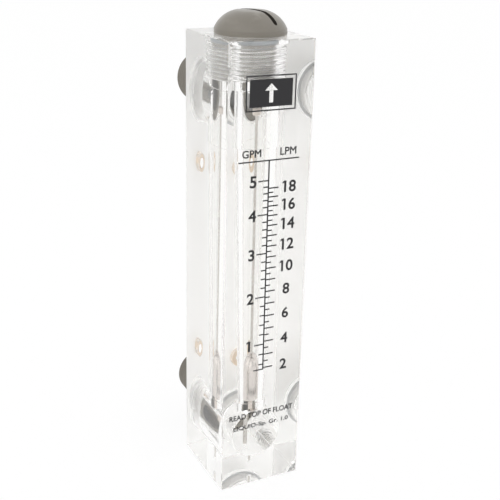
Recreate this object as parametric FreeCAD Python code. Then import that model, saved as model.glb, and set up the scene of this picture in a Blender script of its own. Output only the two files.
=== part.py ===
"""Panel-mounted acrylic rotameter: a clear block with a tapered bore, a float on a guide rod,
a screwed top plug and two rear pipe adapters.

Frame: +Z up, +Y towards the panel that the meter is screwed to, the scale on the -Y face.
The origin is the middle of the block's base.  All sizes are millimetres.
"""
import FreeCAD
import Part
import math
import os

from FreeCAD import Vector

# ---------------------------------------------------------------- block
BLOCK_WIDTH = 35.0
BLOCK_DEPTH = 38.0
BLOCK_HEIGHT = 182.0
EDGE_BREAK = 0.35            # polished chamfer on the block's outer edges
BORE_SETBACK = 18.0          # from the scale face to the axis of the metering bore

# metering bore, from the floor up
PILOT_FLOOR = 3.6            # bottom of the blind hole that centres the guide rod
INLET_BORE_DIA = 12.9        # from the inlet's cross hole up to the taper
TAPER_RISE = 12.9            # of the taper's foot above the inlet's axis
TAPER_BOTTOM_DIA = 11.3
TAPER_DROP = 17.2            # of the taper's top below the outlet's axis
TAPER_TOP_DIA = 17.2
OUTLET_CHAMBER_DIA = 18.0
THREAD_RUNOUT = 2.5          # cored length below the last full turn

# ---------------------------------------------------------------- screwed top
PLUG_THREAD_DIA = 22.0
PLUG_THREAD_PITCH = 1.5
PLUG_THREAD_LENGTH = 14.0
SEAL_RECESS_DIA = 24.0
SEAL_RECESS_DEPTH = 2.5
SEAL_CORD_DIA = 2.4

PLUG_HEAD_DIA = 26.9
PLUG_RIM_HEIGHT = 2.0
PLUG_SHOULDER_HEIGHT = 6.3   # of the round shoulder above the rim
PLUG_SHOULDER_BULGE = 1.15   # of the shoulder's arc over its chord
PLUG_FLAT_DIA = 12.0         # of the nearly flat top inside the shoulder
PLUG_CROWN_HEIGHT = 6.7      # of the top above the rim
SHANK_END_GAP = 1.0          # shank ends this far above the last turn
SLOT_WIDTH = 1.9
SLOT_DEPTH = 4.8
SLOT_LENGTH = 24.6
SLOT_ANGLE = -68.0           # in plan, degrees from +X
ROD_SOCKET_DEPTH = 8.0

# ---------------------------------------------------------------- guide rod and float
ROD_DIA = 1.8
ROD_FOOT_GAP = 0.4           # rod end above the bottom of its blind hole
SPACER_DIA = 3.2
SPACER_LENGTH = 7.5          # up to the taper's foot
STOP_DIA = 5.0
STOP_LENGTH = 2.6
STOP_DROP = 13.9             # of the stop's foot below the plug's shank
FLOAT_DIA = 10.5
FLOAT_BODY_LENGTH = 13.0     # below the nose
FLOAT_NOSE_LENGTH = 6.4
FLOAT_TIP_DIA = 3.6
FLOAT_TAIL_CHAMFER = 0.6
FLOAT_RUNNING_GAP = 0.10     # radial, float on its rod
FLOAT_REST_GAP = 0.3         # under the float at rest

# ---------------------------------------------------------------- rear ports and adapters
INLET_HEIGHT = 20.6          # of the inlet's axis above the base
OUTLET_DROP = 23.3           # of the outlet's axis below the block's top
PORT_RECESS_DIA = 25.0
PORT_RECESS_DEPTH = 3.0
PORT_THREAD_DIA = 23.0
PORT_THREAD_PITCH = 1.5
PORT_THREAD_LENGTH = 8.0
CROSS_HOLE_DIA = 21.4        # plain hole from the thread into the metering bore
INLET_REACH = 30.0           # of the inlet's cross hole from the back face
OUTLET_REACH = 19.0
THREAD_END_GAP = 1.8         # adapter ends this far before the last turn
PIPE_DIA = 20.96             # G 1/2 male
PIPE_LENGTH = 28.5           # behind the block
PIPE_BORE_DIA = 14.0
PIPE_END_CHAMFER = 1.2

# ---------------------------------------------------------------- panel inserts
INSERT_DIA = 8.0
INSERT_LENGTH = 3.0
INSERT_END_GAP = 0.3         # insert ends this far short of its hole
INSERT_RISE = 27.4           # of the lower insert above the inlet's axis
INSERT_DROP = 28.7           # of the upper insert below the outlet's axis
INSERT_HOLE_DIA = 4.2        # core of an M5 thread

# ---------------------------------------------------------------- printed scale
INK = 0.08                   # thickness of the print
SPINE_WIDTH = 0.55
TICK_WIDTH = 0.5
HEADER_HALF_WIDTH = 12.5
HEADER_DROP = 24.8           # of the header rule below the badge's middle
SCALE_RISE = 19.2            # of the lowest graduation above the taper's foot
SCALE_DROP = 7.7             # of the highest graduation below the header rule
SCALE_LOW_FLOW = 0.5         # gallons a minute
SCALE_HIGH_FLOW = 5.0
LITRES_PER_GALLON = 3.785
LITRE_LOW = 2
LITRE_HIGH = 18
FINE_PER_GALLON = 5
LONG_TICK = 4.2
SHORT_TICK = 2.1
FLOW_BEND = 0.05             # how much shorter each gallon is than the one below it
FIGURE_HEIGHT = 4.6
FIGURE_WIDTH = 2.6
FIGURE_STROKE = 0.6
FIGURE_GAP = 0.6             # between two figures of one number
GALLON_FIGURE_X = -7.9       # left edge of the gallon figures
LITRE_FIGURE_X = 9.1         # middle of the litre numbers
BADGE_WIDTH = 20.2
BADGE_HEIGHT = 12.9
BADGE_DROP = 18.5            # of the badge's middle below the block's top
BADGE_LINE = 0.5

# ---------------------------------------------------------------- fits
FIT = 0.05                   # radial gap of each screwed or pressed pair
THREAD_MEAN = 0.6495         # a thread's mean diameter is this many pitches under its outer one

# ---------------------------------------------------------------- derived places
FRONT_Y = -BLOCK_DEPTH / 2
BACK_Y = BLOCK_DEPTH / 2
BORE_Y = FRONT_Y + BORE_SETBACK
RECESS_FLOOR = BLOCK_HEIGHT - SEAL_RECESS_DEPTH
THREAD_END = RECESS_FLOOR - PLUG_THREAD_LENGTH
CORE_END = THREAD_END - THREAD_RUNOUT
PLUG_HOLE_DIA = PLUG_THREAD_DIA - THREAD_MEAN * PLUG_THREAD_PITCH
PORT_HOLE_DIA = PORT_THREAD_DIA - THREAD_MEAN * PORT_THREAD_PITCH
PORT_RECESS_Y = BACK_Y - PORT_RECESS_DEPTH
PORT_THREAD_Y = PORT_RECESS_Y - PORT_THREAD_LENGTH
ADAPTER_INNER_Y = PORT_THREAD_Y + THREAD_END_GAP
PORT_NECK_DIA = PORT_RECESS_DIA - 2 * SEAL_CORD_DIA
OUTLET_HEIGHT = BLOCK_HEIGHT - OUTLET_DROP
REACHES = {"inlet": INLET_REACH, "outlet": OUTLET_REACH}
PORTS = {"inlet": INLET_HEIGHT, "outlet": OUTLET_HEIGHT}
INSERTS = {"lower": INLET_HEIGHT + INSERT_RISE, "upper": OUTLET_HEIGHT - INSERT_DROP}
TAPER_BOTTOM = INLET_HEIGHT + TAPER_RISE
TAPER_TOP = OUTLET_HEIGHT - TAPER_DROP
ROD_FOOT = PILOT_FLOOR + ROD_FOOT_GAP
SHANK_END = THREAD_END + SHANK_END_GAP
ROD_TOP = SHANK_END + ROD_SOCKET_DEPTH
STOP_BOTTOM = SHANK_END - STOP_DROP
FLOAT_BOTTOM = TAPER_BOTTOM + FLOAT_REST_GAP
BADGE_MIDDLE = BLOCK_HEIGHT - BADGE_DROP
HEADER_HEIGHT = BADGE_MIDDLE - HEADER_DROP
SCALE_BOTTOM = TAPER_BOTTOM + SCALE_RISE
SCALE_TOP = HEADER_HEIGHT - SCALE_DROP
UP = Vector(0, 0, 1)
BACK = Vector(0, 1, 0)


# ---------------------------------------------------------------- helpers
def post(dia, low, high, x=0.0, y=BORE_Y):
    """Upright cylinder between two heights, on the bore's axis unless told otherwise."""
    return Part.makeCylinder(dia / 2, high - low, Vector(x, y, low), UP)


def barrel(dia, front, back, height):
    """Cylinder along +Y between two depths, at a height."""
    return Part.makeCylinder(dia / 2, back - front, Vector(0, front, height), BACK)


def turned(profile):
    """Solid turned about the bore's axis from (radius, height) points and arcs of three points."""
    edges = []
    start = profile[0]
    for step in profile[1:] + [profile[0]]:
        points = step if isinstance(step[0], tuple) else (step,)
        ends = [Vector(r, BORE_Y, z) for r, z in (start,) + points]
        if len(ends) == 3:
            edges.append(Part.Arc(*ends).toShape())
        else:
            edges.append(Part.LineSegment(*ends).toShape())
        start = points[-1]
    face = Part.Face(Part.Wire(edges))
    return face.revolve(Vector(0, BORE_Y, 0), UP, 360)


def cut_all(solid, tools):
    """Solid with every tool taken out of it."""
    for tool in tools:
        solid = solid.cut(tool)
    return solid


def join_all(solids):
    """One solid from pieces that overlap."""
    return solids[0].multiFuse(solids[1:]).removeSplitter()


def ink(left, low, right, high):
    """Printed rectangle on the scale face."""
    return Part.makeBox(right - left, INK, high - low, Vector(left, FRONT_Y - INK, low))


# ---------------------------------------------------------------- acrylic block
def bore_cutters():
    """Rod hole, inlet bore, metering taper, outlet chamber, thread core and seal recess."""
    rod_hole = ROD_DIA / 2 + FIT
    pilot = turned([(0, PILOT_FLOOR - rod_hole / 2), (rod_hole, PILOT_FLOOR),
                    (rod_hole, INLET_HEIGHT), (0, INLET_HEIGHT)])
    inlet = post(INLET_BORE_DIA, INLET_HEIGHT, TAPER_BOTTOM)
    taper = Part.makeCone(TAPER_BOTTOM_DIA / 2, TAPER_TOP_DIA / 2, TAPER_TOP - TAPER_BOTTOM,
                          Vector(0, BORE_Y, TAPER_BOTTOM), UP)
    outlet = post(OUTLET_CHAMBER_DIA, TAPER_TOP, CORE_END)
    core = post(PLUG_HOLE_DIA, CORE_END, RECESS_FLOOR)
    recess = post(SEAL_RECESS_DIA, RECESS_FLOOR, BLOCK_HEIGHT)
    return [pilot, inlet, taper, outlet, core, recess]


def port_cutters(name):
    """Seal recess and screwed port in the back face, and the cross hole into the bore."""
    height = PORTS[name]
    return [barrel(PORT_RECESS_DIA, PORT_RECESS_Y, BACK_Y, height),
            barrel(PORT_HOLE_DIA, PORT_THREAD_Y, PORT_RECESS_Y, height),
            barrel(CROSS_HOLE_DIA, BACK_Y - REACHES[name], PORT_THREAD_Y, height)]


def make_block():
    """Clear block with its bore, ports and insert holes."""
    box = Part.makeBox(BLOCK_WIDTH, BLOCK_DEPTH, BLOCK_HEIGHT,
                       Vector(-BLOCK_WIDTH / 2, FRONT_Y, 0))
    cutters = bore_cutters()
    for name in PORTS:
        cutters += port_cutters(name)
    hole_end = BACK_Y - INSERT_LENGTH - INSERT_END_GAP
    for height in INSERTS.values():
        cutters.append(barrel(INSERT_DIA, hole_end, BACK_Y, height))
    return cut_all(box.makeChamfer(EDGE_BREAK, box.Edges), cutters)


# ---------------------------------------------------------------- top plug
def driver_slot():
    """Coin slot across the crown, with round ends."""
    top = BLOCK_HEIGHT + PLUG_RIM_HEIGHT + PLUG_CROWN_HEIGHT
    floor = top - SLOT_DEPTH
    reach = SLOT_LENGTH / 2 - SLOT_WIDTH / 2
    middle = Part.makeBox(2 * reach, SLOT_WIDTH, 2 * SLOT_DEPTH,
                          Vector(-reach, BORE_Y - SLOT_WIDTH / 2, floor))
    ends = [post(SLOT_WIDTH, floor, floor + 2 * SLOT_DEPTH, x) for x in (-reach, reach)]
    slot = join_all([middle] + ends)
    slot.rotate(Vector(0, BORE_Y, 0), UP, SLOT_ANGLE)
    return slot


def arc_middle(start, end, bulge):
    """Middle of an arc between two (radius, height) points that rises over its chord."""
    across = end[0] - start[0]
    along = end[1] - start[1]
    chord = math.hypot(across, along)
    return ((start[0] + end[0] + 2 * bulge * along / chord) / 2,
            (start[1] + end[1] - 2 * bulge * across / chord) / 2)


def crown():
    """Steps of the turned outline over the plug's rim: round shoulder and nearly flat top."""
    rim = BLOCK_HEIGHT + PLUG_RIM_HEIGHT
    edge = (PLUG_HEAD_DIA / 2, rim)
    flat = (PLUG_FLAT_DIA / 2, rim + PLUG_SHOULDER_HEIGHT)
    top = (0, rim + PLUG_CROWN_HEIGHT)
    rise = PLUG_CROWN_HEIGHT - PLUG_SHOULDER_HEIGHT
    return [edge, (arc_middle(edge, flat, PLUG_SHOULDER_BULGE), flat),
            (arc_middle(flat, top, rise / 4), top)]


def make_plug():
    """Domed plug with its seal neck, threaded shank and rod socket."""
    head = PLUG_HEAD_DIA / 2
    neck = SEAL_RECESS_DIA / 2 - SEAL_CORD_DIA
    shank = PLUG_HOLE_DIA / 2 - FIT
    socket = ROD_DIA / 2 + FIT
    body = turned([(0, ROD_TOP), (socket, ROD_TOP), (socket, SHANK_END), (shank, SHANK_END),
                   (shank, RECESS_FLOOR), (neck, RECESS_FLOOR), (neck, BLOCK_HEIGHT),
                   (head, BLOCK_HEIGHT)] + crown())
    return body.cut(driver_slot())


def ring(middle_radius, cord, centre, axis):
    """Seal ring of round cord."""
    return Part.makeTorus(middle_radius, cord / 2, centre, axis)


def make_plug_seal():
    """Seal ring round the plug's neck, in the block's recess."""
    radius = (SEAL_RECESS_DIA - SEAL_CORD_DIA) / 2
    return ring(radius, SEAL_CORD_DIA, Vector(0, BORE_Y, RECESS_FLOOR + SEAL_CORD_DIA / 2), UP)


# ---------------------------------------------------------------- rod, spacer, stop and float
def sleeve(outer, low, high, gap=FIT):
    """Tube round the guide rod."""
    return post(outer, low, high).cut(post(ROD_DIA + 2 * gap, low, high))


def make_spacer():
    """Sleeve on the rod that holds the float at the foot of the taper."""
    return sleeve(SPACER_DIA, TAPER_BOTTOM - SPACER_LENGTH, TAPER_BOTTOM)


def make_stop():
    """Bead on the rod that stops the float at the top of the taper, with rounded ends."""
    bead = sleeve(STOP_DIA, STOP_BOTTOM, STOP_BOTTOM + STOP_LENGTH)
    middle = (STOP_DIA + ROD_DIA) / 2
    rims = [edge for edge in bead.Edges
            if edge.BoundBox.XLength > middle and edge.BoundBox.ZLength < FIT]
    return bead.makeFillet(STOP_LENGTH / 5, rims)


def make_float():
    """Bullet float, bored for the rod."""
    radius = FLOAT_DIA / 2
    bore = ROD_DIA / 2 + FLOAT_RUNNING_GAP
    tip = FLOAT_TIP_DIA / 2
    shoulder = FLOAT_BOTTOM + FLOAT_BODY_LENGTH
    top = shoulder + FLOAT_NOSE_LENGTH
    bulge = (tip + (radius - tip) * math.cos(math.pi / 4),
             shoulder + FLOAT_NOSE_LENGTH * math.sin(math.pi / 4))
    return turned([(bore, FLOAT_BOTTOM), (radius - FLOAT_TAIL_CHAMFER, FLOAT_BOTTOM),
                   (radius, FLOAT_BOTTOM + FLOAT_TAIL_CHAMFER), (radius, shoulder),
                   (bulge, (tip, top)), (bore, top)])


# ---------------------------------------------------------------- rear adapters and inserts
def make_adapter(height):
    """Adapter screwed into the port, with its neck in the recess and its pipe behind the block."""
    screw = barrel(PORT_HOLE_DIA - 2 * FIT, ADAPTER_INNER_Y, PORT_RECESS_Y, height)
    neck = barrel(PORT_NECK_DIA, PORT_RECESS_Y, BACK_Y, height)
    end = BACK_Y + PIPE_LENGTH
    pipe = barrel(PIPE_DIA, BACK_Y, end - PIPE_END_CHAMFER, height)
    lead = Part.makeCone(PIPE_DIA / 2, PIPE_DIA / 2 - PIPE_END_CHAMFER, PIPE_END_CHAMFER,
                         Vector(0, end - PIPE_END_CHAMFER, height), BACK)
    bore = barrel(PIPE_BORE_DIA, ADAPTER_INNER_Y, end, height)
    return join_all([screw, neck, pipe, lead]).cut(bore)


def make_adapter_seal(height):
    """Seal ring round the adapter's neck, in the port's recess."""
    radius = (PORT_RECESS_DIA - SEAL_CORD_DIA) / 2
    return ring(radius, SEAL_CORD_DIA, Vector(0, PORT_RECESS_Y + SEAL_CORD_DIA / 2, height), BACK)


def make_insert(height):
    """Threaded insert for a panel screw, flush with the back face."""
    front = BACK_Y - INSERT_LENGTH
    body = barrel(INSERT_DIA - 2 * FIT, front, BACK_Y, height)
    return body.cut(barrel(INSERT_HOLE_DIA, front, BACK_Y, height))


# ---------------------------------------------------------------- printed scale
def flow_height(gallons):
    """Height of the float's top at a flow."""
    low, flow, high = (rate * (1 - FLOW_BEND * rate)
                       for rate in (SCALE_LOW_FLOW, gallons, SCALE_HIGH_FLOW))
    return SCALE_BOTTOM + (SCALE_TOP - SCALE_BOTTOM) * (flow - low) / (high - low)


def tick(left, right, height):
    """Printed graduation."""
    return ink(left, height - TICK_WIDTH / 2, right, height + TICK_WIDTH / 2)


def gallon_ticks():
    """Graduations left of the spine: fine ones, long at each whole gallon and at the end."""
    marks = [tick(-LONG_TICK, 0, flow_height(SCALE_LOW_FLOW))]
    first = math.ceil(SCALE_LOW_FLOW * FINE_PER_GALLON)
    for step in range(first, round(SCALE_HIGH_FLOW * FINE_PER_GALLON) + 1):
        length = SHORT_TICK if step % FINE_PER_GALLON else LONG_TICK
        marks.append(tick(-length, 0, flow_height(step / FINE_PER_GALLON)))
    return marks


def litre_ticks():
    """Graduations right of the spine: long at each litre and short at each half."""
    marks = []
    for halves in range(2 * LITRE_LOW, 2 * LITRE_HIGH + 1):
        length = SHORT_TICK if halves % 2 else LONG_TICK
        marks.append(tick(0, length, flow_height(halves / 2 / LITRES_PER_GALLON)))
    return marks


def make_scale_lines():
    """Spine, header rule and graduations, printed as one."""
    low = flow_height(SCALE_LOW_FLOW) - TICK_WIDTH / 2
    spine = ink(-SPINE_WIDTH / 2, low, SPINE_WIDTH / 2, HEADER_HEIGHT)
    header = tick(-HEADER_HALF_WIDTH, HEADER_HALF_WIDTH, HEADER_HEIGHT)
    return join_all([spine, header] + gallon_ticks() + litre_ticks())


# strokes of each figure in a box one wide and one high, from its lower left corner
FIGURES = {
    "0": [(0, 0, 1, 0), (1, 0, 1, 1), (0, 1, 1, 1), (0, 0, 0, 1)],
    "1": [(0.6, 0, 0.6, 1)],
    "2": [(0, 1, 1, 1), (1, 0.5, 1, 1), (0, 0.5, 1, 0.5), (0, 0, 0, 0.5), (0, 0, 1, 0)],
    "3": [(0, 1, 1, 1), (1, 0, 1, 1), (0, 0.5, 1, 0.5), (0, 0, 1, 0)],
    "4": [(0, 0.4, 0, 1), (0, 0.4, 1, 0.4), (0.7, 0, 0.7, 1)],
    "5": [(0, 1, 1, 1), (0, 0.5, 0, 1), (0, 0.5, 1, 0.5), (1, 0, 1, 0.5), (0, 0, 1, 0)],
    "6": [(0, 1, 1, 1), (0, 0, 0, 1), (0, 0.5, 1, 0.5), (1, 0, 1, 0.5), (0, 0, 1, 0)],
    "8": [(0, 0, 1, 0), (0, 0.5, 1, 0.5), (0, 1, 1, 1), (0, 0, 0, 1), (1, 0, 1, 1)],
}


def make_figure(figure, left, low):
    """Printed figure from its strokes."""
    width = FIGURE_WIDTH - FIGURE_STROKE
    height = FIGURE_HEIGHT - FIGURE_STROKE
    half = FIGURE_STROKE / 2
    bars = []
    for x0, z0, x1, z1 in FIGURES[figure]:
        bars.append(ink(left + x0 * width, low + z0 * height,
                        left + x1 * width + 2 * half, low + z1 * height + 2 * half))
    return join_all(bars) if len(bars) > 1 else bars[0]


def make_number(number, left, middle):
    """Figures of a number, left to right, centred on a height."""
    pitch = FIGURE_WIDTH + FIGURE_GAP
    low = middle - FIGURE_HEIGHT / 2
    return [make_figure(figure, left + place * pitch, low)
            for place, figure in enumerate(str(number))]


def make_scale_figures():
    """Whole gallons on the left and even litres on the right."""
    figures = []
    for gallons in range(math.ceil(SCALE_LOW_FLOW), round(SCALE_HIGH_FLOW) + 1):
        figures += make_number(gallons, GALLON_FIGURE_X, flow_height(gallons))
    for litres in range(LITRE_LOW, LITRE_HIGH + 1, 2):
        digits = len(str(litres))
        width = digits * FIGURE_WIDTH + (digits - 1) * FIGURE_GAP
        height = flow_height(litres / LITRES_PER_GALLON)
        figures += make_number(litres, LITRE_FIGURE_X - width / 2, height)
    return Part.makeCompound(figures)


def make_badge():
    """Plain frame round a dark field with an arrow left clear in it, pointing with the flow."""
    low = BADGE_MIDDLE - BADGE_HEIGHT / 2
    high = BADGE_MIDDLE + BADGE_HEIGHT / 2
    side = BADGE_WIDTH / 2
    inset = 3 * BADGE_LINE
    frame = ink(-side, low, side, high).cut(
        ink(-side + BADGE_LINE, low + BADGE_LINE, side - BADGE_LINE, high - BADGE_LINE))
    field = ink(-side + inset, low + inset, side - inset, high - inset)
    shaft = BADGE_HEIGHT / 16
    head = BADGE_HEIGHT / 5
    foot = low + 2 * inset
    tip = high - 2 * inset
    outline = [(-shaft, foot), (shaft, foot), (shaft, tip - head), (head, tip - head), (0, tip),
               (-head, tip - head), (-shaft, tip - head), (-shaft, foot)]
    wire = Part.makePolygon([Vector(x, FRONT_Y - INK, z) for x, z in outline])
    arrow = Part.Face(wire).extrude(Vector(0, INK, 0))
    return Part.makeCompound([frame, field.cut(arrow)])


# ---------------------------------------------------------------- the whole meter
def make_parts():
    """Every piece by its name."""
    parts = {
        "block": make_block(),
        "top_plug": make_plug(),
        "top_plug_seal": make_plug_seal(),
        "guide_rod": post(ROD_DIA, ROD_FOOT, ROD_TOP),
        "lower_spacer": make_spacer(),
        "upper_stop": make_stop(),
        "float": make_float(),
        "scale_lines": make_scale_lines(),
        "scale_figures": make_scale_figures(),
        "flow_badge": make_badge(),
    }
    for name, height in PORTS.items():
        parts[name + "_adapter"] = make_adapter(height)
        parts[name + "_seal"] = make_adapter_seal(height)
    for name, height in INSERTS.items():
        parts[name + "_panel_insert"] = make_insert(height)
    return parts


def main():
    """Write one STEP file for each piece."""
    os.makedirs("parts", exist_ok=True)
    for name, shape in make_parts().items():
        shape.exportStep(os.path.join("parts", name + ".step"))
        box = shape.BoundBox
        print(f"{name:20s} solids {len(shape.Solids):3d} valid {shape.isValid()} "
              f"volume {shape.Volume:10.1f} z {box.ZMin:7.2f} {box.ZMax:7.2f}")


main()
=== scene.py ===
"""Panel-mounted acrylic rotameter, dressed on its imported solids.

Frame: +Z up the metering bore, +Y towards the panel, the scale on the -Y face, in metres.
Sizes are written in millimetres as dataclass fields, and what the frame can give is read from it.
"""
import logging
import math
from collections.abc import Iterable, Sequence
from dataclasses import dataclass, field
from enum import Enum

import bmesh
import bpy
from mathutils import Matrix, Vector


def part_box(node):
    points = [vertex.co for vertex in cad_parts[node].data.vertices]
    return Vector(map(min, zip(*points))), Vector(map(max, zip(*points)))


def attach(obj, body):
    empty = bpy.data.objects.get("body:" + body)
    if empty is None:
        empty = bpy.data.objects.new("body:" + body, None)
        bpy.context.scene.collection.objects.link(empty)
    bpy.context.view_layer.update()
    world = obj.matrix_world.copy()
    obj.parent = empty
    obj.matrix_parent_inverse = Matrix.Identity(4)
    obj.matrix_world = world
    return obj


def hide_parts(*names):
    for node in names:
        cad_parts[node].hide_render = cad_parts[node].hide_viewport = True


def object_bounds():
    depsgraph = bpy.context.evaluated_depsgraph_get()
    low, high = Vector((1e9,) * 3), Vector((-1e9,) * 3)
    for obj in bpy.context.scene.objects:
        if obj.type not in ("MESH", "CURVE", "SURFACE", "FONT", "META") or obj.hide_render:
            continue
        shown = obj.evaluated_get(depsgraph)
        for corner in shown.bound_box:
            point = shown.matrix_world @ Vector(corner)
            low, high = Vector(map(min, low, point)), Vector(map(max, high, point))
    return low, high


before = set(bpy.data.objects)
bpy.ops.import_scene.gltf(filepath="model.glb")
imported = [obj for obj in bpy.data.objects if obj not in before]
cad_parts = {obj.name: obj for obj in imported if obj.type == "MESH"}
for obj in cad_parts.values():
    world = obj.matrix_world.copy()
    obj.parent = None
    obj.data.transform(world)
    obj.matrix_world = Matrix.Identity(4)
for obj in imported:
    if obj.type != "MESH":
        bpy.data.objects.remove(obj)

MM = 0.001
CAD_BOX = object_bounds()
LOG = logging.getLogger("rotameter")
INSERTS = ("lower_panel_insert", "upper_panel_insert")

Point = tuple[float, float]
Colour = tuple[float, float, float]
Socket = str | int
Link = tuple[bpy.types.Node, Socket, bpy.types.Node, Socket]


# ------------------------------------------------------------------ choices
class Body(Enum):
    """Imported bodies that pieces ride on."""

    METER = "meter"
    FLOAT = "float"


class Lay(Enum):
    """Which way a turned piece's axis points."""

    UPRIGHT = "upright"
    REARWARD = "rearward"


class Side(Enum):
    """Ends of the water way."""

    INLET = "inlet"
    OUTLET = "outlet"


# ------------------------------------------------------------------ frame readings
def middle_of(node: str) -> Vector:
    """Middle of a CAD node's box, in metres."""
    low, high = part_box(node)
    return (low + high) / 2


def span_of(node: str, lay: Lay = Lay.UPRIGHT) -> tuple[float, float, float]:
    """Radius and ends of a turned CAD node.

    Args:
        node: Name of the CAD node.
        lay: Which way its axis points.

    Returns:
        Its radius, and where it starts and ends along its axis, in millimetres.
    """
    low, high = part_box(node)
    start, end = (low.z, high.z) if lay is Lay.UPRIGHT else (low.y, high.y)
    return (high.x - low.x) / 2 / MM, start / MM, end / MM


def axis_place(lay: Lay, through: Vector) -> Matrix:
    """Placement that turns a piece made about Z onto its axis.

    Args:
        lay: Which way the axis points.
        through: A point that the axis passes through.

    Returns:
        The placement, which keeps distances along the axis as frame coordinates.
    """
    if lay is Lay.UPRIGHT:
        return Matrix.Translation((through.x, through.y, 0))
    return Matrix.Translation((through.x, 0, through.z)) @ Matrix.Rotation(-math.pi / 2, 4, "X")


# ------------------------------------------------------------------ nodes and objects
def set_inputs(node: bpy.types.Node, values: dict[Socket, object]) -> None:
    """Set a node's inputs, by name or place."""
    for socket, value in values.items():
        node.inputs[socket].default_value = value


def add_node(tree: bpy.types.NodeTree, kind: str, values: dict[Socket, object] | None = None,
             **settings: object) -> bpy.types.Node:
    """Add a node to a tree.

    Args:
        tree: The tree.
        kind: Type of the node.
        values: Values of its inputs.
        settings: Its properties, such as operation, which are set first.

    Returns:
        The node.
    """
    node = tree.nodes.new(kind)
    for name, setting in settings.items():
        setattr(node, name, setting)
    set_inputs(node, values or {})
    return node


def wire(tree: bpy.types.NodeTree, *links: Link) -> None:
    """Link nodes, each link being a source, its output, a target and its input."""
    for source, out, target, into in links:
        tree.links.new(source.outputs[out], target.inputs[into])


def node_material(name: str) -> bpy.types.Material:
    """New material with nodes.

    Args:
        name: Name of the material.

    Returns:
        The material, with a Principled BSDF and its output.
    """
    material = bpy.data.materials.new(name)
    material.use_nodes = True
    return material


def place_object(name: str, data: bpy.types.ID) -> bpy.types.Object:
    """New object at the origin.

    Args:
        name: Name of the object.
        data: Its mesh, curve, camera or lamp.

    Returns:
        The object, linked to the scene.
    """
    placed = bpy.data.objects.new(name, data)
    bpy.context.scene.collection.objects.link(placed)
    return placed


# ------------------------------------------------------------------ shader groups
class GroupMaker:
    """Shader node groups that several finishes share."""

    def __init__(self) -> None:
        """Build each group once."""
        self.grain = self._grain()
        self.rings = self._rings()
        self.dust = self._dust()

    @staticmethod
    def _start(name: str, inputs: dict[str, float], outputs: Iterable[str],
               ) -> tuple[bpy.types.NodeTree, bpy.types.Node, bpy.types.Node]:
        """Open a group that takes a Vector and named values, and gives named values.

        Args:
            name: Name of the group.
            inputs: Value inputs and their defaults.
            outputs: Value outputs.

        Returns:
            The tree, its input node and its output node.
        """
        tree = bpy.data.node_groups.new(name, "ShaderNodeTree")
        tree.interface.new_socket("Vector", in_out="INPUT", socket_type="NodeSocketVector")
        for label, value in inputs.items():
            socket = tree.interface.new_socket(label, in_out="INPUT", socket_type="NodeSocketFloat")
            socket.default_value = value
        for label in outputs:
            tree.interface.new_socket(label, in_out="OUTPUT", socket_type="NodeSocketFloat")
        return tree, add_node(tree, "NodeGroupInput"), add_node(tree, "NodeGroupOutput")

    def _grain(self) -> bpy.types.NodeTree:
        """Fine moulded or drawn grain over broad, soft unevenness.

        Returns:
            The group, with Mask for broad change and Height for fine relief.
        """
        tree, given, made = self._start("fine_grain", {"Scale": 60.0, "Fineness": 12.0},
                                        ("Mask", "Height"))
        broad = add_node(tree, "ShaderNodeTexNoise", {"Detail": 3.0})
        fine = add_node(tree, "ShaderNodeTexNoise", {"Detail": 5.0, "Roughness": 0.6})
        finer = add_node(tree, "ShaderNodeMath", operation="MULTIPLY")
        wire(tree, (given, "Vector", broad, "Vector"), (given, "Vector", fine, "Vector"),
             (given, "Scale", broad, "Scale"), (given, "Scale", finer, 0),
             (given, "Fineness", finer, 1), (finer, 0, fine, "Scale"),
             (broad, "Fac", made, "Mask"), (fine, "Fac", made, "Height"))
        return tree

    def _rings(self) -> bpy.types.NodeTree:
        """Tool marks left by turning or facing, as fine uneven rings.

        Returns:
            The group, with Height for relief and Mask for the marks' sheen.
        """
        tree, given, made = self._start("tool_rings", {"Scale": 900.0, "Wobble": 0.4},
                                        ("Mask", "Height"))
        wave = add_node(tree, "ShaderNodeTexWave", {"Detail": 2.0, "Detail Scale": 1.5},
                        wave_type="BANDS", bands_direction="Z")
        patch = add_node(tree, "ShaderNodeTexNoise", {"Scale": 140.0})
        blend = add_node(tree, "ShaderNodeMath", operation="MULTIPLY")
        wire(tree, (given, "Vector", wave, "Vector"), (given, "Vector", patch, "Vector"),
             (given, "Scale", wave, "Scale"), (given, "Wobble", wave, "Distortion"),
             (wave, "Fac", blend, 0), (patch, "Fac", blend, 1), (blend, 0, made, "Height"),
             (patch, "Fac", made, "Mask"))
        return tree

    def _dust(self) -> bpy.types.NodeTree:
        """Faint dust on what faces up.

        Returns:
            The group, with Mask for how much dust lies there.
        """
        tree, given, made = self._start("settled_dust", {"Amount": 0.2, "Scale": 220.0}, ("Mask",))
        facing = add_node(tree, "ShaderNodeNewGeometry")
        parts = add_node(tree, "ShaderNodeSeparateXYZ")
        upward = add_node(tree, "ShaderNodeMapRange", {"From Min": 0.55})
        specks = add_node(tree, "ShaderNodeTexNoise", {"Detail": 8.0})
        rare = add_node(tree, "ShaderNodeMapRange", {"From Min": 0.5, "From Max": 0.72})
        both, scaled = (add_node(tree, "ShaderNodeMath", operation="MULTIPLY") for _ in range(2))
        wire(tree, (facing, "Normal", parts, 0), (parts, "Z", upward, "Value"),
             (given, "Vector", specks, "Vector"), (given, "Scale", specks, "Scale"),
             (specks, "Fac", rare, "Value"), (upward, 0, both, 0), (rare, 0, both, 1),
             (both, 0, scaled, 0), (given, "Amount", scaled, 1), (scaled, 0, made, "Mask"))
        return tree


# ------------------------------------------------------------------ finishes
def linear(level: float) -> float:
    """Linear value of one 8-bit display level, by the usual display curve."""
    share = level / 255
    return share / 12.92 if share <= 0.04045 else ((share + 0.055) / 1.055) ** 2.4


def display(red: float, green: float, blue: float) -> Colour:
    """Linear colour of 8-bit display levels."""
    return linear(red), linear(green), linear(blue)


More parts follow.
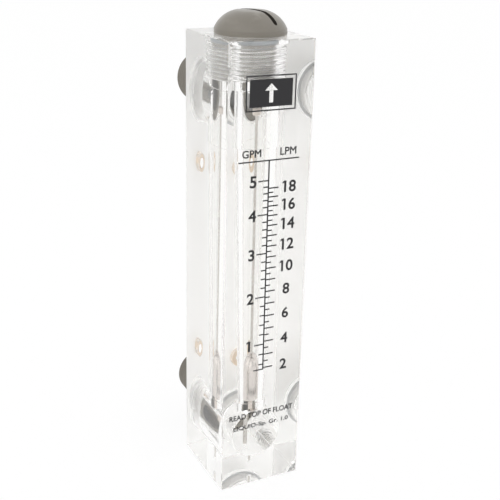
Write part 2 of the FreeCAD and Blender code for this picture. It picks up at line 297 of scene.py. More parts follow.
DUST = display(226, 222, 214)


@dataclass(frozen=True, kw_only=True)
class Finish:
    """Gloss of a surface, and the grain or tool rings that vary it."""

    name: str
    slot: str
    smooth: float                # roughness, from smooth to rough over the marks
    rough: float
    relief: float = 0.05
    relief_depth: float = 0.1    # in millimetres
    grain_scale: float = 60.0
    ring_scale: float = 0.0      # above zero where it was turned or faced
    lay: Lay = Lay.UPRIGHT

    def _mark(self, tree: bpy.types.NodeTree, shader: bpy.types.Node, groups: GroupMaker,
              ) -> tuple[bpy.types.Node, bpy.types.Node]:
        """Vary a material's gloss by its marks, and raise their relief.

        Args:
            tree: The material's tree.
            shader: Its shader.
            groups: The shared shader groups.

        Returns:
            The node that lines patterns up with the piece, and the marks.
        """
        place = add_node(tree, "ShaderNodeTexCoord")
        lean = math.pi / 2 if self.lay is Lay.REARWARD else 0.0
        turn = add_node(tree, "ShaderNodeMapping", {"Rotation": (lean, 0, 0)})
        marks = add_node(tree, "ShaderNodeGroup", {"Scale": self.ring_scale or self.grain_scale},
                         node_tree=groups.rings if self.ring_scale else groups.grain)
        gloss = add_node(tree, "ShaderNodeMapRange", {"To Min": self.smooth, "To Max": self.rough})
        wire(tree, (place, "Object", turn, "Vector"), (turn, 0, marks, "Vector"),
             (marks, "Mask", gloss, "Value"), (gloss, 0, shader, "Roughness"))
        if self.relief:
            bump = add_node(tree, "ShaderNodeBump", {"Strength": self.relief,
                                                     "Distance": self.relief_depth * MM})
            wire(tree, (marks, "Height", bump, "Height"), (bump, 0, shader, "Normal"))
        return turn, marks


@dataclass(frozen=True, kw_only=True)
class Opaque(Finish):
    """Finish of a piece that light doesn't pass through."""

    dark: Colour
    light: Colour
    metallic: float = 0.0
    dust: float = 0.0

    def build(self, groups: GroupMaker) -> bpy.types.Material:
        """Make the material.

        Args:
            groups: The shared shader groups.

        Returns:
            The material, its colour varied by its marks and dusted where the finish says so.
        """
        material = node_material(self.name)
        tree = material.node_tree
        shader = tree.nodes["Principled BSDF"]
        set_inputs(shader, {"Metallic": self.metallic})
        turn, marks = self._mark(tree, shader, groups)
        tone = add_node(tree, "ShaderNodeMix", {"A": (*self.dark, 1), "B": (*self.light, 1)},
                        data_type="RGBA")
        wire(tree, (marks, "Mask", tone, "Factor"))
        if self.dust:
            fallen = add_node(tree, "ShaderNodeGroup", {"Amount": self.dust}, node_tree=groups.dust)
            dusted = add_node(tree, "ShaderNodeMix", {"B": (*DUST, 1)}, data_type="RGBA")
            wire(tree, (turn, 0, fallen, "Vector"), (fallen, "Mask", dusted, "Factor"),
                 (tone, "Result", dusted, "A"))
            tone = dusted
        wire(tree, (tone, "Result", shader, "Base Color"))
        return material


@dataclass(frozen=True, kw_only=True)
class Clear(Finish):
    """Finish of a face of the clear block."""

    slot: str = "acrylic"
    relief: float = 0.0
    relief_depth: float = 0.05
    grain_scale: float = 40.0
    refraction: float = 1.49
    clarity: float = 1.0
    tint: Colour = (0.995, 0.992, 0.982)

    def build(self, groups: GroupMaker) -> bpy.types.Material:
        """Make the material.

        Args:
            groups: The shared shader groups.

        Returns:
            The material, which lets shadow rays through so that what is inside is lit.
        """
        material = node_material(self.name)
        tree = material.node_tree
        shader = tree.nodes["Principled BSDF"]
        set_inputs(shader, {"Base Color": (*self.tint, 1), "IOR": self.refraction,
                            "Transmission Weight": self.clarity, "Roughness": self.smooth})
        if self.rough > self.smooth:
            self._mark(tree, shader, groups)
        rays = add_node(tree, "ShaderNodeLightPath")
        through = add_node(tree, "ShaderNodeBsdfTransparent")
        mix = add_node(tree, "ShaderNodeMixShader")
        wire(tree, (rays, "Is Shadow Ray", mix, "Fac"), (shader, 0, mix, 1), (through, 0, mix, 2),
             (mix, 0, tree.nodes["Material Output"], "Surface"))
        return material


POLISHED = Clear(name="acrylic_polished", smooth=0.0, rough=0.0)     # no marks at all
BORED = Clear(name="acrylic_bored", smooth=0.0, rough=0.04, relief=0.01, ring_scale=500.0)
MACHINED = Clear(name="acrylic_machined", smooth=0.42, rough=0.6, relief=0.15, ring_scale=700.0,
                 clarity=0.2)
TAPPED = Clear(name="acrylic_tapped", smooth=0.0, rough=0.03, relief=0.005, ring_scale=700.0,
               clarity=0.82)
PORTED = Clear(name="acrylic_ported", smooth=0.1, rough=0.3, relief=0.02, ring_scale=700.0,
               clarity=0.55)
# painted shade: the plug's taupe plastic made darker for the slot's walls and floor, standing in
# for the shade deep in the slot
SLOT_PAINTED_SHADE = Opaque(name="plastic_slot_painted_shade", slot="grey_plastic", dark=display(52, 47, 42),
                 light=display(66, 61, 55), smooth=0.5, rough=0.6, relief=0.3, grain_scale=90.0)
MOULDED = Opaque(name="plastic_taupe", slot="grey_plastic", dark=display(118, 113, 104),
                 light=display(131, 126, 117), smooth=0.24, rough=0.36, relief=0.2,
                 grain_scale=90.0, dust=0.18)
SEAL = Opaque(name="silicone_grey", slot="seal_rubber", dark=display(142, 147, 152),
              light=display(166, 170, 174), smooth=0.45, rough=0.6, relief=0.1)
ROD_STEEL = Opaque(name="steel_drawn", slot="stainless", dark=display(196, 192, 187),
                   light=display(214, 211, 207), smooth=0.2, rough=0.32, metallic=1.0,
                   ring_scale=700.0)
FLOAT_STEEL = Opaque(name="steel_turned", slot="float_steel", dark=display(212, 206, 202),
                     light=display(222, 216, 212), smooth=0.08, rough=0.14, metallic=1.0,
                     ring_scale=1200.0, relief=0.08)
NYLON = Opaque(name="nylon_natural", slot="spacer_plastic", dark=display(206, 196, 188),
               light=display(222, 213, 205), smooth=0.3, rough=0.45, relief=0.08)
BRASS = Opaque(name="brass_pale", slot="insert_brass", dark=display(214, 194, 172),
               light=display(232, 216, 198), smooth=0.3, rough=0.45, metallic=0.3,
               ring_scale=900.0, relief=0.1, lay=Lay.REARWARD)
INK = Opaque(name="ink_black", slot="scale_ink", dark=display(22, 21, 23),
             light=display(34, 33, 36), smooth=0.45, rough=0.65, grain_scale=300.0)


class Palette:
    """Materials by finish, each made once."""

    def __init__(self) -> None:
        """Build the shared groups."""
        self._groups = GroupMaker()
        self._made: dict[str, bpy.types.Material] = {}

    def of(self, finish: Opaque | Clear) -> bpy.types.Material:
        """Material of a finish.

        Args:
            finish: The finish.

        Returns:
            Its material.
        """
        if finish.name not in self._made:
            self._made[finish.name] = finish.build(self._groups)
        return self._made[finish.name]


# ------------------------------------------------------------------ mesh making
def link_mesh(name: str, shape: bmesh.types.BMesh) -> bpy.types.Object:
    """Object of a mesh, shaded.

    Args:
        name: Name of the piece.
        shape: Its mesh, which is used up.

    Returns:
        The object, linked to the scene.
    """
    mesh = bpy.data.meshes.new(name)
    shape.to_mesh(mesh)
    shape.free()
    piece = place_object(name, mesh)
    shade(piece)
    return piece


def shade(piece: bpy.types.Object, crease: float = 22.0) -> None:
    """Shade a piece smooth, with crisp edges past a crease angle in degrees."""
    piece.data.shade_smooth()
    piece.data.set_sharp_from_angle(angle=math.radians(crease))


def rounded(start: Point, end: Point, bulge: float, steps: int) -> list[Point]:
    """Points of an arc after its start.

    Args:
        start: First point, as (radius, distance along the axis).
        end: Last point.
        bulge: How far the arc's middle rises over its chord, to the chord's left if positive.
        steps: Straight steps that make the arc.

    Returns:
        The points, the end included and the start not.
    """
    across, along = end[0] - start[0], end[1] - start[1]
    chord = math.hypot(across, along)
    radius = (chord ** 2 / 4 + bulge ** 2) / (2 * abs(bulge))
    reach = math.copysign(1, bulge) * (abs(bulge) - radius)
    centre = ((start[0] + end[0]) / 2 - along / chord * reach,
              (start[1] + end[1]) / 2 + across / chord * reach)
    first = math.atan2(start[1] - centre[1], start[0] - centre[0])
    last = math.atan2(end[1] - centre[1], end[0] - centre[0])
    sweep = (last - first + math.pi) % (2 * math.pi) - math.pi
    return [(centre[0] + radius * math.cos(first + sweep * step / steps),
             centre[1] + radius * math.sin(first + sweep * step / steps))
            for step in range(1, steps + 1)]


def turned(name: str, outline: Sequence[Point], place: Matrix, sides: int,
           hollow: bool = False) -> bpy.types.Object:
    """Piece turned about its axis.

    Args:
        name: Name of the piece.
        outline: (radius, distance along the axis) points in millimetres, from pole to pole.
        place: Placement of the axis.
        sides: Sides of each ring.
        hollow: Whether the outline closes on itself instead of ending on the axis.

    Returns:
        The closed piece.
    """
    shape = bmesh.new()
    turns = [2 * math.pi * side / sides for side in range(sides)]
    rings = []
    for radius, along in outline:
        around = turns if radius > 0 else [0.0]
        rings.append([shape.verts.new(place @ Vector((radius * MM * math.cos(turn),
                                                      radius * MM * math.sin(turn), along * MM)))
                      for turn in around])
    pairs = list(zip(rings, rings[1:])) + ([(rings[-1], rings[0])] if hollow else [])
    for lower, upper in pairs:
        for side in range(sides):
            after = (side + 1) % sides
            corners = [lower[side % len(lower)], lower[after % len(lower)],
                       upper[after % len(upper)], upper[side % len(upper)]]
            shape.faces.new(list(dict.fromkeys(corners)))
    bmesh.ops.recalc_face_normals(shape, faces=shape.faces)
    return link_mesh(name, shape)


def baked(piece: bpy.types.Object) -> bpy.types.Object:
    """Turn a piece's modifiers into plain mesh.

    Args:
        piece: The piece.

    Returns:
        The same object with its final mesh and no modifiers.
    """
    bpy.context.view_layer.update()
    graph = bpy.context.evaluated_depsgraph_get()
    mesh = bpy.data.meshes.new_from_object(piece.evaluated_get(graph), depsgraph=graph)
    old = piece.data
    piece.modifiers.clear()
    piece.data = mesh
    bpy.data.meshes.remove(old)
    mesh.name = piece.name
    return piece


def carve(piece: bpy.types.Object, cutters: Sequence[bpy.types.Object]) -> None:
    """Cut closed shapes out of a closed piece.

    Args:
        piece: The piece.
        cutters: The shapes to take away, used up.
    """
    for cutter in cutters:
        cut = piece.modifiers.new(cutter.name, "BOOLEAN")
        cut.operation = "DIFFERENCE"
        cut.solver = "MANIFOLD"
        cut.object = cutter
    baked(piece)
    for cutter in cutters:
        bpy.data.objects.remove(cutter)


def weld(piece: bpy.types.Object, reach: float = 2e-6) -> None:
    """Merge corners that a cut left on top of each other, and drop faces without area.

    Args:
        piece: The cut piece.
        reach: Distance in metres within which corners merge.
    """
    shape = bmesh.new()
    shape.from_mesh(piece.data)
    bmesh.ops.remove_doubles(shape, verts=shape.verts, dist=reach)
    bmesh.ops.dissolve_degenerate(shape, edges=shape.edges, dist=reach)
    shape.to_mesh(piece.data)
    shape.free()


def joined(name: str, pieces: Sequence[bpy.types.Object]) -> bpy.types.Object:
    """One piece from several meshes that stay as they are.

    Args:
        name: Name of the joined piece.
        pieces: What goes into it, used up.

    Returns:
        The joined piece.
    """
    shape = bmesh.new()
    for piece in pieces:
        shape.from_mesh(piece.data)
        bpy.data.objects.remove(piece)
    return link_mesh(name, shape)


def prism(name: str, corners: Sequence[Point], place: Matrix, depth: float) -> bpy.types.Object:
    """Straight-sided closed piece.

    Args:
        name: Name of the piece.
        corners: Corners of its foot in order, in millimetres.
        place: Placement of the foot's plane.
        depth: How far the piece rises from that plane, in millimetres.

    Returns:
        The piece.
    """
    shape = bmesh.new()
    foot = shape.faces.new([shape.verts.new((x * MM, y * MM, 0)) for x, y in corners])
    grown = bmesh.ops.extrude_face_region(shape, geom=[foot])["geom"]
    raised = [part for part in grown if isinstance(part, bmesh.types.BMVert)]
    bmesh.ops.translate(shape, verts=raised, vec=(0, 0, depth * MM))
    bmesh.ops.transform(shape, matrix=place, verts=shape.verts)
    bmesh.ops.recalc_face_normals(shape, faces=shape.faces)
    return link_mesh(name, shape)


# ------------------------------------------------------------------ thread ridges
class RidgeTree:
    """Geometry Nodes tree of one thread's ridge, wound along a helix about Z."""

    INPUTS = ("Root Radius", "Pitch", "Turns", "Ridge Height", "Root Width", "Crest Width")
    STEPS_PER_TURN = 96

    def __init__(self) -> None:
        """Build the tree."""
        self.tree = bpy.data.node_groups.new("thread_ridge", "GeometryNodeTree")
        sockets = self.tree.interface
        sockets.new_socket("Geometry", in_out="OUTPUT", socket_type="NodeSocketGeometry")
        kinds = {label: "NodeSocketFloat" for label in self.INPUTS}
        kinds["Material"] = "NodeSocketMaterial"
        self._keys = {label: sockets.new_socket(label, in_out="INPUT", socket_type=kind).identifier
                      for label, kind in kinds.items()}
        self._sweep(self.tree)

    def _sweep(self, tree: bpy.types.NodeTree) -> None:
        """Sweep a trapezoid along a right-hand helix.

        Args:
            tree: The empty tree.
        """
        given, made = add_node(tree, "NodeGroupInput"), add_node(tree, "NodeGroupOutput")
        rise = add_node(tree, "ShaderNodeMath", operation="MULTIPLY")
        helix = add_node(tree, "GeometryNodeCurveSpiral",
                         {"Resolution": self.STEPS_PER_TURN, "Reverse": True})
        level = add_node(tree, "GeometryNodeSetCurveNormal", mode="Z_UP")
        section = add_node(tree, "GeometryNodeCurvePrimitiveQuadrilateral", {"Offset": 0.0},
                           mode="TRAPEZOID")
        half = add_node(tree, "ShaderNodeMath", {1: 0.5}, operation="MULTIPLY")
        shift = add_node(tree, "ShaderNodeCombineXYZ")
        stand = add_node(tree, "GeometryNodeTransform")
        turn = add_node(tree, "GeometryNodeTransform", {"Rotation": (0, 0, -math.pi / 2)})
        sweep = add_node(tree, "GeometryNodeCurveToMesh", {"Fill Caps": True})
        real = add_node(tree, "GeometryNodeRealizeInstances")
        paint = add_node(tree, "GeometryNodeSetMaterial")
        wire(tree, (given, "Pitch", rise, 0), (given, "Turns", rise, 1),
             (given, "Turns", helix, "Rotations"), (given, "Root Radius", helix, "Start Radius"),
             (given, "Root Radius", helix, "End Radius"), (rise, 0, helix, "Height"),
             (helix, 0, level, "Curve"), (given, "Root Width", section, "Bottom Width"),
             (given, "Crest Width", section, "Top Width"),
             (given, "Ridge Height", section, "Height"), (given, "Ridge Height", half, 0),
             (half, 0, shift, "Y"), (section, 0, stand, "Geometry"),
             (shift, 0, stand, "Translation"), (stand, 0, turn, "Geometry"),
             (level, 0, sweep, "Curve"), (turn, 0, sweep, "Profile Curve"), (sweep, 0, real, 0),
             (real, 0, paint, "Geometry"), (given, "Material", paint, "Material"),
             (paint, 0, made, 0))

    def wind(self, name: str, values: dict[str, object]) -> bpy.types.Object:
        """Make one ridge as a plain mesh, starting at height zero.

        Args:
            name: Name of the ridge.
            values: Value of each named input, in metres and turns.

        Returns:
            The ridge.
        """
        ridge = place_object(name, bpy.data.meshes.new(name))
        modifier = ridge.modifiers.new("thread", "NODES")
        modifier.node_group = self.tree
        for label, value in values.items():
            modifier[self._keys[label]] = value
        return baked(ridge)


@dataclass
class Thread:
    """One screw thread, in millimetres except where it says pitches."""

    outer: float                 # diameter over the ridge
    pitch: float
    depth: float = 0.55          # depth and widths of the ridge, in pitches
    crest: float = 0.25
    root: float = 0.85
    sunk: float = 0.05           # how far the ridge's root sinks into its core

    @property
    def inner_radius(self) -> float:
        """Radius at the foot of the ridge, in millimetres."""
        return self.outer / 2 - self.depth * self.pitch

    def ridge(self, tree: RidgeTree, name: str, low: float, high: float, place: Matrix,
              gap: float = 0.0, lag: float = 0.0,
              material: bpy.types.Material | None = None) -> bpy.types.Object:
        """Ridge between two distances along the axis.

        Args:
            tree: The ridge tree.
            name: Name of the ridge.
            low: Where the thread starts.
            high: Where it ends.
            place: Placement of the axis.
            gap: How far the ridge stays inside its full size.
            lag: How far past the start of its mating thread this one starts.
            material: Its material, or none for a cutter.

        Returns:
            The ridge, in its place.
        """
        wide = self.root * self.pitch
        values = {"Root Radius": (self.inner_radius - self.sunk - gap) * MM,
                  "Pitch": self.pitch * MM, "Turns": (high - low - wide) / self.pitch,
                  "Ridge Height": (self.depth * self.pitch + self.sunk) * MM,
                  "Root Width": wide * MM, "Crest Width": self.crest * self.pitch * MM}
        ridge = tree.wind(name, values | ({"Material": material} if material else {}))
        lift = Matrix.Translation((0, 0, (low + wide / 2) * MM))
        turn = Matrix.Rotation(2 * math.pi * lag / self.pitch, 4, "Z")
        ridge.data.transform(place @ lift @ turn)
        shade(ridge)
        return ridge


# ------------------------------------------------------------------ shared sizes
@dataclass
class Sizes:
    """Sizes that more than one piece shares, in millimetres."""

    top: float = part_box("block")[1].z / MM
    front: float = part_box("block")[0].y / MM
    back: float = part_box("block")[1].y / MM
    rod: float = 1.8
    rod_fit: float = 0.05        # air around the rod where something holds it
    plug_thread: Thread = field(default_factory=lambda: Thread(22.0, 1.5))
    port_thread: Thread = field(default_factory=lambda: Thread(23.0, 1.5))
    pipe_thread: Thread = field(default_factory=lambda: Thread(20.96, 1.814, 0.64, 0.1, 0.92))
    plug_thread_length: float = 14.0
    port_thread_length: float = 8.0
    thread_gap: float = 0.12     # between a screw and the thread that it is in
    seal_recess: Point = (24.0, 2.5)     # diameter and depth
    port_recess: Point = (25.0, 3.0)
    seal_cord: float = 2.4

    @property
    def recess_floor(self) -> float:
        """Height of the plug's seal recess floor."""
        return self.top - self.seal_recess[1]

    @property
    def thread_foot(self) -> float:
        """Height of the plug thread's last turn."""
        return self.recess_floor - self.plug_thread_length

    @property
    def port_floor(self) -> float:
        """Where a port's seal recess ends, along +Y."""
        return self.back - self.port_recess[1]

    @property
    def port_end(self) -> float:
        """Where a port's thread ends, along +Y."""
        return self.port_floor - self.port_thread_length


@dataclass
class Builder:
    """What every sub-assembly is handed."""

    sizes: Sizes
    palette: Palette
    ridges: RidgeTree
    bore: Matrix = field(default_factory=lambda: axis_place(Lay.UPRIGHT, middle_of("guide_rod")))

    def port(self, side: Side) -> Matrix:
        """Placement of a port's axis."""
        return axis_place(Lay.REARWARD, middle_of(f"{side.value}_adapter"))

    def finish(self, piece: bpy.types.Object, finish: Opaque | Clear, body: Body,
               *nodes: str) -> None:
        """Paint a piece that has no material yet, and put it on its body.

        Args:
            piece: The piece.
            finish: Its finish.
            body: The body it rides on.
            nodes: CAD nodes that it stands for.
        """
        if not piece.data.materials:
            piece.data.materials.append(self.palette.of(finish))
        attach(piece, body.value)
        if nodes:
            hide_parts(*nodes)
        LOG.info("%s: %d faces on %s", piece.name, len(piece.data.polygons), body.value)

    def screw(self, thread: Thread, name: str, low: float, high: float, place: Matrix,
              gap: float = 0.0, lag: float = 0.0) -> None:
        """Make the ridge of an outside thread, moulded with its core.

        Args:
            thread: The thread.
            name: Name of the ridge.
            low: Where the thread starts.
            high: Where it ends.
            place: Placement of the axis.
            gap: How far the ridge stays inside its full size.
            lag: How far past the start of its mating thread this one starts.
        """
        ridge = thread.ridge(self.ridges, name, low, high, place, gap, lag,
                             self.palette.of(MOULDED))
        self.finish(ridge, MOULDED, Body.METER)

    def seal(self, name: str, node: str, lay: Lay, place: Matrix, steps: int = 40,
             sides: int = 144) -> None:
        """Make a ring of round cord that fills its CAD node.

        Args:
            name: Name of the ring.
            node: The CAD node.
            lay: Which way the ring's axis points.
            place: Placement of that axis.
            steps: Straight steps round the cord.
            sides: Sides of the ring.
        """
        radius, low, high = span_of(node, lay)
        cord = (high - low) / 2
        turns = [2 * math.pi * step / steps for step in range(steps)]
        outline = [(radius - cord + cord * math.cos(turn), (low + high) / 2 + cord * math.sin(turn))
                   for turn in turns]
        self.finish(turned(name, outline, place, sides, hollow=True), SEAL, Body.METER, node)


# ------------------------------------------------------------------ clear block
@dataclass
class ClearBlock:
    """Clear block with its bore, cross holes, screwed ports and insert holes."""

    made: Builder
    chamfer: float = 0.35
    pilot_floor: float = 3.6     # of the rod's hole
    inlet_bore: float = 12.9
    taper: tuple[Point, Point] = ((11.3, 33.5), (17.2, 141.5))   # each end's diameter and height
    outlet_chamber: float = 18.0
    runout: float = 2.5          # thread core below the plug thread's last turn
    cross_hole: float = 21.4
    reach: dict[Side, float] = field(       # how far each port's hole goes in from the back
        default_factory=lambda: {Side.INLET: 30.0, Side.OUTLET: 19.0})
    insert_grip: float = 0.02    # how far each insert bites into its hole
    over: float = 1.0            # how far a cutter stands out of the block
    bore_sides: int = 256
    port_sides: int = 224
    insert_sides: int = 160
    crease: float = 20.0         # degrees past which an edge is crisp
    margin: float = 0.1          # reach past an edge when faces are sorted by finish
    fine_margin: float = 0.05
    floor_margin: float = 0.02

    def _box(self) -> bpy.types.Object:
        """Plain block with broken edges.

        Returns:
            The block.
        """
        low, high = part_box("block")
        shape = bmesh.new()
        place = Matrix.Translation((low + high) / 2) @ Matrix.Diagonal((*(high - low), 1))
        bmesh.ops.create_cube(shape, size=1.0, matrix=place)
        bmesh.ops.bevel(shape, geom=list(shape.edges), offset=self.chamfer * MM, segments=1,
                        affect="EDGES")
        return link_mesh("clear_block", shape)

    def _bore_cutter(self) -> bpy.types.Object:
        """Everything that is turned about the metering axis, from the rod's hole to the top.

        Returns:
            The cutter.
        """
        sizes = self.made.sizes
        rod = sizes.rod / 2 + sizes.rod_fit
        inlet, chamber = self.inlet_bore / 2, self.outlet_chamber / 2
        crossing = middle_of("inlet_adapter").z / MM
        (low_dia, low), (high_dia, high) = self.taper
        core, core_foot = sizes.plug_thread.inner_radius, sizes.thread_foot - self.runout
        wide, out = sizes.seal_recess[0] / 2, sizes.top + self.over
        outline = [(0, self.pilot_floor - rod / 2), (rod, self.pilot_floor), (rod, crossing),
                   (inlet, crossing), (inlet, low), (low_dia / 2, low), (high_dia / 2, high),
                   (chamber, high), (chamber, core_foot), (core, core_foot),
                   (core, sizes.recess_floor), (wide, sizes.recess_floor), (wide, out), (0, out)]
        return turned("bore_cutter", outline, self.made.bore, self.bore_sides)

    def _port_cutter(self, side: Side) -> bpy.types.Object:
        """Cross hole, thread core and seal recess of a port.

        Args:
            side: Which port.

        Returns:
            The cutter.
        """
        sizes = self.made.sizes
        hole, wide = self.cross_hole / 2, sizes.port_recess[0] / 2
        core = sizes.port_thread.inner_radius
        front, out = sizes.back - self.reach[side], sizes.back + self.over
        outline = [(0, front), (hole, front), (hole, sizes.port_end), (core, sizes.port_end),
                   (core, sizes.port_floor), (wide, sizes.port_floor), (wide, out), (0, out)]
        return turned(f"{side.value}_cutter", outline, self.made.port(side), self.port_sides)

    def _thread_cutters(self) -> list[bpy.types.Object]:
        """Ridges that cut the inside threads.

        Returns:
            The ridges of the plug's and both ports' threads.
        """
        made, sizes = self.made, self.made.sizes
        plug = sizes.plug_thread.ridge(made.ridges, "plug_thread_cutter", sizes.thread_foot,
                                       sizes.recess_floor, made.bore)
        return [plug] + [sizes.port_thread.ridge(made.ridges, f"{side.value}_thread_cutter",
                                                 sizes.port_end, sizes.port_floor, made.port(side))
                         for side in Side]

    def _insert_cutter(self, node: str) -> bpy.types.Object:
        """Hole of a panel insert.

        Args:
            node: CAD node of the insert.

        Returns:
            The cutter.
        """
        radius, front, _ = span_of(node, Lay.REARWARD)
        wall, floor = radius - self.insert_grip, front + self.insert_grip
        out = self.made.sizes.back + self.over
        return turned(f"{node}_cutter", [(0, floor), (wall, floor), (wall, out), (0, out)],
                      axis_place(Lay.REARWARD, middle_of(node)), self.insert_sides)

    def _dress(self, block: bpy.types.Object) -> None:
        """Give polished, bored, machined, tapped and ported faces their finishes.

        Args:
            block: The carved block.
        """
        sizes = self.made.sizes
        finishes = (POLISHED, BORED, MACHINED, TAPPED, PORTED)
        block.data.materials.clear()
        for finish in finishes:
            block.data.materials.append(self.made.palette.of(finish))
        low, high = (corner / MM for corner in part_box("block"))
        ports = [middle_of(f"{side.value}_adapter").z / MM for side in Side]
        axis = self.made.bore.translation / MM
        rim = self.chamfer + self.fine_margin
        recess = sizes.port_recess[0] / 2 + self.margin
        tapped = sizes.plug_thread.inner_radius - self.fine_margin
        tapped_foot, tapped_top = (sizes.thread_foot - self.margin,
                                   sizes.recess_floor - self.floor_margin)
        for face in block.data.polygons:
            x, y, z = face.center / MM
            if y > high.y - rim:
                finish = MACHINED
            elif min(x - low.x, high.x - x, y - low.y, z - low.z, high.z - z) < rim:
                finish = POLISHED
            elif (y > sizes.port_end - self.margin
                  and min(math.hypot(x, z - port) for port in ports) < recess):
                finish = PORTED
            elif (tapped_foot < z < tapped_top
                  and math.hypot(x - axis.x, y - axis.y) > tapped):
                finish = TAPPED
            else:
                finish = BORED
            face.material_index = finishes.index(finish)

    def build(self) -> None:
        """Carve the block and dress it."""
        block = self._box()
        carve(block, [self._bore_cutter(), *(self._port_cutter(side) for side in Side),
                      *self._thread_cutters(), *(self._insert_cutter(node) for node in INSERTS)])
        weld(block)
        shade(block, self.crease)
        self._dress(block)
        self.made.finish(block, POLISHED, Body.METER, "block")


# ------------------------------------------------------------------ screwed top
@dataclass
class ScrewedTop:
    """Domed plug with its coin slot, thread and seal ring."""

    made: Builder
    rim: float = 2.0             # height of the head's upright edge
    shoulder: Point = (6.0, 6.3)     # radius of the crest, and its height over the rim
    bulge: float = 1.15
    crest_bulge: float = 0.25    # as a share of the crest's own rise
    crown_steps: int = 24
    crest_steps: int = 10
    edge: float = 0.35
    edge_bulge: float = 0.1
    edge_steps: int = 4
    end_gap: float = 1.0         # from the thread's last turn to the screw's end
    socket_depth: float = 8.0
    sides: int = 200
    crease: float = 24.0
    slot_width: float = 1.9
    slot_depth: float = 4.8
    slot_length: float = 24.6
    slot_angle: float = -68.0
    slot_steps: int = 12
    slot_over: float = 1.0       # how far the slot's cutter stands out of the dome
    upright: float = 0.02        # most that an upright wall's normal leans
    wall_margin: float = 0.1
    floor_margin: float = 0.01

    def _body(self) -> bpy.types.Object:
        """Turned plug before its slot is cut.

        Returns:
            The plug.
        """
        sizes, edge = self.made.sizes, self.edge
        head, _, top = span_of("top_plug")
        neck = sizes.seal_recess[0] / 2 - sizes.seal_cord
        core = sizes.plug_thread.inner_radius - sizes.thread_gap
        foot = sizes.thread_foot + self.end_gap
        socket, socket_end = sizes.rod / 2 + sizes.rod_fit, foot + self.socket_depth
        under, rim = (head - edge, sizes.top), (head, sizes.top + self.rim)
        crest = (self.shoulder[0], rim[1] + self.shoulder[1])
        lift = (top - crest[1]) * self.crest_bulge
        outline = [(0, socket_end), (socket, socket_end), (socket, foot), (core - edge, foot),
                   (core, foot + edge), (core, sizes.recess_floor), (neck, sizes.recess_floor),
                   (neck, sizes.top), under,
                   *rounded(under, (head, sizes.top + edge), -self.edge_bulge, self.edge_steps),
                   rim, *rounded(rim, crest, -self.bulge, self.crown_steps),
                   *rounded(crest, (0, top), -lift, self.crest_steps)[:-1], (0, top)]
        return turned("top_plug_dome", outline, self.made.bore, self.sides)

    def _slot(self) -> bpy.types.Object:
        """Shape of the coin slot.

        Returns:
            The cutter, with round ends.
        """
        half = self.slot_width / 2
        turns = [math.pi * (step / self.slot_steps - 0.5) for step in range(self.slot_steps + 1)]
        end = [(self.slot_length / 2 - half + half * math.cos(turn), half * math.sin(turn))
               for turn in turns]
        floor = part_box("top_plug")[1].z - self.slot_depth * MM
        place = (self.made.bore @ Matrix.Rotation(math.radians(self.slot_angle), 4, "Z")
                 @ Matrix.Translation((0, 0, floor)))
        return prism("slot_cutter", end + [(-x, -y) for x, y in end], place,
                     self.slot_depth + self.slot_over)

    def _dress(self, plug: bpy.types.Object) -> None:
        """Paint shade on the slot's walls and floor, as a darker copy of the plug's own plastic.

        Args:
            plug: The plug with its slot.
        """
        plug.data.materials.clear()
        for finish in (MOULDED, SLOT_PAINTED_SHADE):
            plug.data.materials.append(self.made.palette.of(finish))
        walls = (self.made.sizes.top + self.rim + self.wall_margin) * MM
        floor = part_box("top_plug")[1].z - self.slot_depth * MM
        for face in plug.data.polygons:
            wall = abs(face.normal.z) < self.upright and face.center.z > walls
            ground = abs(face.center.z - floor) < self.floor_margin * MM
            # slot walls and floor take the darker copy that paints the slot's shade
            face.material_index = int(wall or ground)

    def build(self) -> None:
        """Make the plug, its thread and its seal."""
        made, sizes = self.made, self.made.sizes
        plug = self._body()
        carve(plug, [self._slot()])
        shade(plug, self.crease)
        self._dress(plug)
        made.finish(plug, MOULDED, Body.METER, "top_plug")
        made.screw(sizes.plug_thread, "top_plug_thread", sizes.thread_foot + self.end_gap,
                   sizes.recess_floor, made.bore, sizes.thread_gap, self.end_gap)
        made.seal("plug_seal_ring", "top_plug_seal", Lay.UPRIGHT, made.bore)


